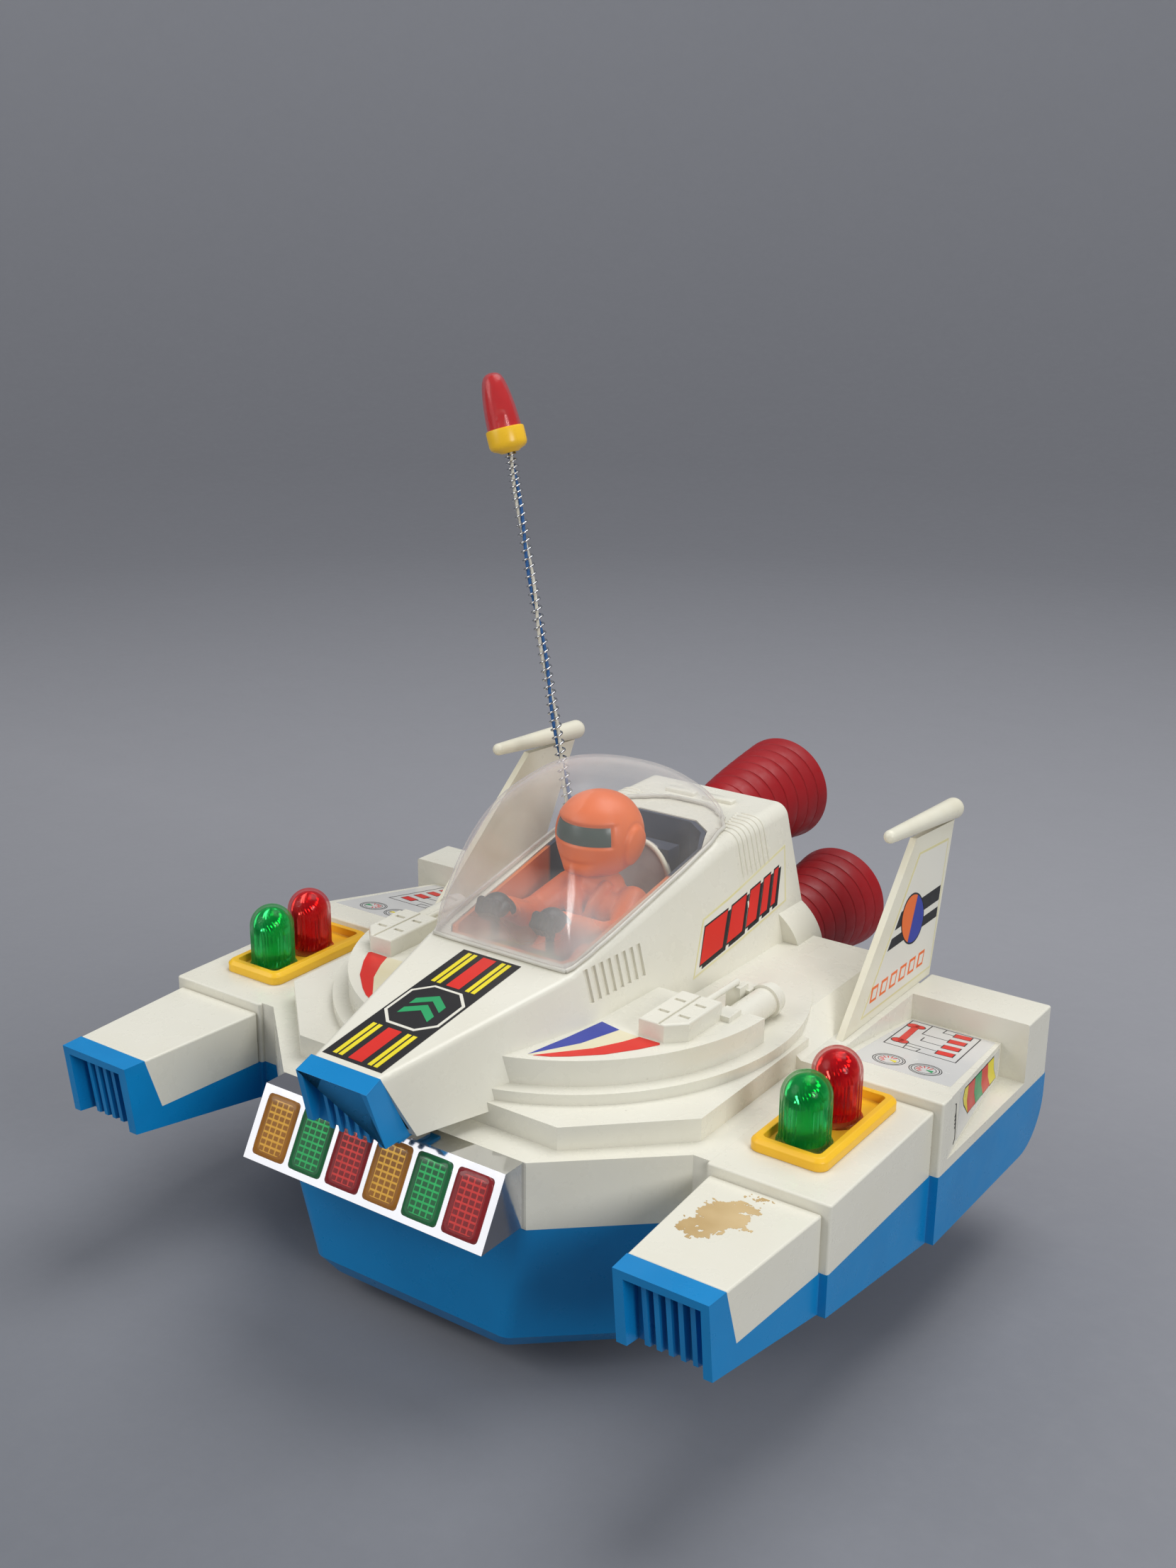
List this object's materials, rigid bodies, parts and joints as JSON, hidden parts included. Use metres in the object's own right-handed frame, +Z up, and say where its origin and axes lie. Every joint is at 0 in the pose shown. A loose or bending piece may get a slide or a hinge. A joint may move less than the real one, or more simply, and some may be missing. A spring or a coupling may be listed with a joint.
{
  "type": "toy spacecraft",
  "caption": "Battery-driven toy patrol spacecraft with wing pods, clear cockpit, beacon lamps, sprung antenna and a turning drive pod that lets it bump and go.",
  "frame": {"origin": "on the floor under the middle of the bounding box", "axes": "+X towards the toy's left-hand wing as seen from the front, -Y towards the nose, +Z up"},
  "size_m": [0.3, 0.2944, 0.3185],
  "materials": {
    "white_shell": "glossy, aged off-white",
    "blue_hull": "glossy",
    "chrome_plate": "vacuum plated",
    "amber_lens": "clear coloured plastic",
    "green_lens": "clear coloured plastic",
    "red_lens": "clear coloured plastic",
    "red_nozzle": "translucent plastic",
    "bulb_glass": "clear",
    "clear_canopy": "clear plastic",
    "yellow_plastic": "glossy",
    "contact_brass": "bare",
    "dark_tub": "satin",
    "orange_suit": "satin",
    "visor_tint": "glossy",
    "black_plastic": "satin",
    "cream_plastic": "yellowed",
    "spring_steel": "bright wire",
    "lead_cream": "wire insulation",
    "gear_plastic": "natural",
    "motor_can": "plated",
    "axle_steel": "bright",
    "tyre": "ribbed",
    "cell_jacket": "printed jacket, plain",
    "board_green": "lacquered"
  },
  "bodies": {
    "craft": {"upper_shell": "white_shell", "lower_hull": "blue_hull", "nose_cap": "blue_hull", "light_bar_housing": "chrome_plate", "light_bar_lenses_amber": "amber_lens", "light_bar_lenses_green": "green_lens", "light_bar_lenses_red": "red_lens", "light_bar_bulbs": "bulb_glass", "dome_tray_right": "yellow_plastic", "dome_tray_left": "yellow_plastic", "dome_green_right": "green_lens", "dome_green_left": "green_lens", "dome_red_right": "red_lens", "dome_red_left": "red_lens", "dome_lamp_bulbs": "bulb_glass", "dome_lamp_sockets": "contact_brass", "canopy": "clear_canopy", "cockpit_tub": "dark_tub", "driver_figure": "orange_suit", "driver_helmet": "orange_suit", "driver_visor": "visor_tint", "driver_gloves": "black_plastic", "control_sticks": "black_plastic", "nozzle_upper": "red_nozzle", "nozzle_lower_left": "red_nozzle", "nozzle_lower_right": "red_nozzle", "fin_right": "cream_plastic", "fin_left": "cream_plastic", "antenna_base": "white_shell", "drive_motor": "motor_can", "gearbox_base": "gear_plastic", "gearbox_cover": "gear_plastic", "battery_cells": "cell_jacket", "battery_contacts": "contact_brass", "switch_case": "black_plastic", "circuit_board": "board_green", "speaker": "black_plastic", "case_screws": "axle_steel"},
    "pod": {"drive_pod": "black_plastic"},
    "drive_axle": {"drive_axle_gear": "gear_plastic", "drive_wheels": "black_plastic", "drive_tyres": "tyre"},
    "drive_shaft": {"drive_shaft_gear": "gear_plastic"},
    "compound": {"compound_gear": "gear_plastic"},
    "motor_rotor": {"motor_pinion": "contact_brass"},
    "rear_axle": {"rear_axle": "axle_steel", "rear_wheels": "black_plastic", "rear_tyres": "tyre"},
    "switch": {"power_switch": "black_plastic"},
    "door": {"battery_door": "blue_hull"},
    "antenna_low": {"antenna_spring_lower": "spring_steel", "antenna_leads_lower": "lead_cream"},
    "antenna_mid": {"antenna_spring_middle": "spring_steel", "antenna_leads_middle": "lead_cream"},
    "antenna_top": {"antenna_spring_upper": "spring_steel", "antenna_leads_upper": "lead_cream", "antenna_lamp_cap": "yellow_plastic", "antenna_lamp_lens": "red_lens", "antenna_lamp_bulb": "bulb_glass"}
  },
  "joints": [
    {"name": "pod_turn", "type": "hinge", "parent": "craft", "child": "pod", "pos_m": [0, -0.062, 0.02], "axis": [0, 0, 1], "continuous": true},
    {"name": "drive_axle_spin", "type": "hinge", "parent": "pod", "child": "drive_axle", "pos_m": [0, -0.062, 0.016], "axis": [1, 0, 0], "continuous": true},
    {"name": "drive_shaft_spin", "type": "hinge", "parent": "craft", "child": "drive_shaft", "pos_m": [0, -0.062, 0.04], "axis": [0, 0, 1], "continuous": true},
    {"name": "compound_spin", "type": "hinge", "parent": "craft", "child": "compound", "pos_m": [0.016, -0.062, 0.04], "axis": [0, 0, 1], "continuous": true},
    {"name": "motor_spin", "type": "hinge", "parent": "craft", "child": "motor_rotor", "pos_m": [0.016, -0.046, 0.045], "axis": [0, 0, 1], "continuous": true},
    {"name": "rear_axle_spin", "type": "hinge", "parent": "craft", "child": "rear_axle", "pos_m": [0, 0.052, 0.016], "axis": [1, 0, 0], "continuous": true},
    {"name": "power_switch_slide", "type": "slide", "parent": "craft", "child": "switch", "axis": [1, 0, 0], "range_m": [0, 0.006]},
    {"name": "battery_door_slide", "type": "slide", "parent": "craft", "child": "door", "axis": [0, 1, 0], "range_m": [0, 0.05]},
    {"name": "antenna_bend_low", "type": "hinge", "parent": "craft", "child": "antenna_low", "pos_m": [-0.0505, 0.064, 0.1075], "axis": [0, 1, 0], "range_deg": [-10, 10], "stiffness_Nm_per_rad": 0.25, "springref_deg": 1.78},
    {"name": "antenna_bend_mid", "type": "hinge", "parent": "antenna_low", "child": "antenna_mid", "pos_m": [-0.06319, 0.064, 0.16771], "axis": [0, 1, 0], "range_deg": [-10, 10]},
    {"name": "antenna_bend_top", "type": "hinge", "parent": "antenna_mid", "child": "antenna_top", "pos_m": [-0.07588, 0.064, 0.22792], "axis": [0, 1, 0], "range_deg": [-10, 10]}
  ],
  "couplings": [
    {"joint": "drive_shaft_spin", "follows": "drive_axle_spin", "ratio": -3},
    {"joint": "compound_spin", "follows": "drive_axle_spin", "ratio": 9},
    {"joint": "motor_spin", "follows": "drive_axle_spin", "ratio": -27},
    {"joint": "antenna_bend_mid", "follows": "antenna_bend_low", "ratio": 1},
    {"joint": "antenna_bend_top", "follows": "antenna_bend_low", "ratio": 1}
  ]
}
